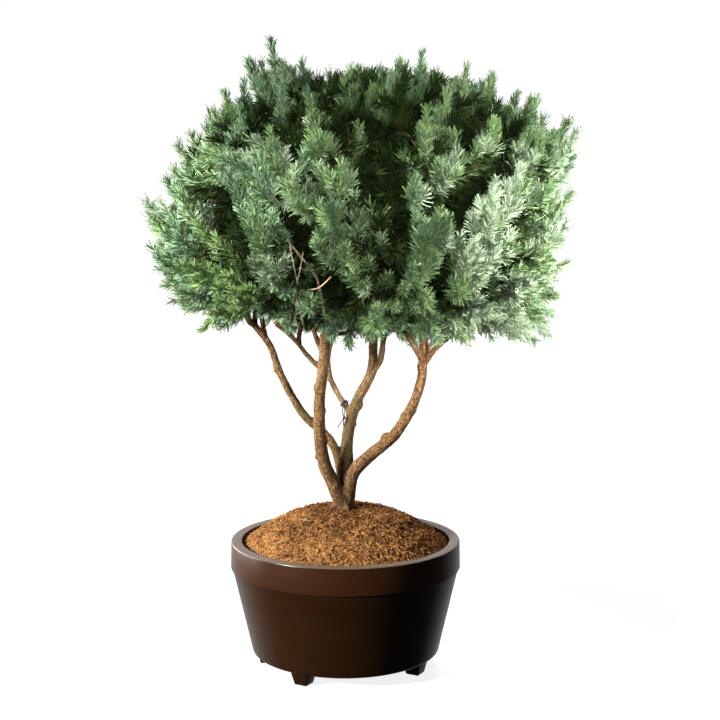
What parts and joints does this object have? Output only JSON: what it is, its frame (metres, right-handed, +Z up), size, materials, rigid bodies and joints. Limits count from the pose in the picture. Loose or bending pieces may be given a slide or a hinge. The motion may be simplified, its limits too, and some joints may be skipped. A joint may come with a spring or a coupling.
{
  "type": "potted scots pine",
  "caption": "Multi-stemmed Scots pine with a broad rounded crown of blue-green needles, in a round brown planter on short feet with a mulch mound.",
  "frame": {"origin": "bottom centre of the whole plant's bounding box, at floor level; the planter's axis is 58 mm to the left of it", "axes": "+Z up; +X to the right and -Y towards the viewer in the picture"},
  "size_m": [1.5068, 1.3128, 2.1625],
  "materials": {
    "planter": "satin dark brown with fine level streaks",
    "mulch": "loose golden-brown bark and coir fibre",
    "bark": "flaky orange-brown bark",
    "needles": "matte blue-green needles"
  },
  "bodies": {
    "root": {"planter": "planter", "planter_foot_1": "planter", "planter_foot_2": "planter", "planter_foot_3": "planter", "planter_foot_4": "planter", "planter_foot_5": "planter", "mulch_mound": "mulch", "trunk": "bark", "bough_front": "bark", "bough_left": "bark", "bough_back": "bark", "bough_right": "bark", "bough_front_left": "bark", "bough_front_side": "bark", "bough_left_side": "bark", "bough_back_left": "bark", "bough_back_right": "bark", "bough_right_left": "bark", "bough_right_outer": "bark", "bough_right_back": "bark", "limb_front": "bark", "limb_upper_front": "bark", "limb_left_front": "bark", "limb_left": "bark", "limb_back_left": "bark", "limb_upper_back": "bark", "limb_back": "bark", "limb_right_back": "bark", "limb_right": "bark", "limb_front_right": "bark", "limb_low_right": "bark", "limb_under_front": "bark", "limb_under_back": "bark", "needles_top": "needles", "needles_upper_1": "needles", "needles_upper_2": "needles", "needles_upper_3": "needles", "needles_upper_4": "needles", "needles_upper_5": "needles", "needles_middle_1": "needles", "needles_middle_2": "needles", "needles_middle_3": "needles", "needles_middle_4": "needles", "needles_middle_5": "needles", "needles_middle_6": "needles", "needles_middle_7": "needles", "needles_middle_8": "needles", "needles_lower_1": "needles", "needles_lower_2": "needles", "needles_lower_3": "needles", "needles_lower_4": "needles", "needles_lower_5": "needles", "needles_lower_6": "needles", "needles_lower_7": "needles", "needles_lower_8": "needles", "needles_under_1": "needles", "needles_under_2": "needles", "needles_under_3": "needles"}
  },
  "joints": []
}
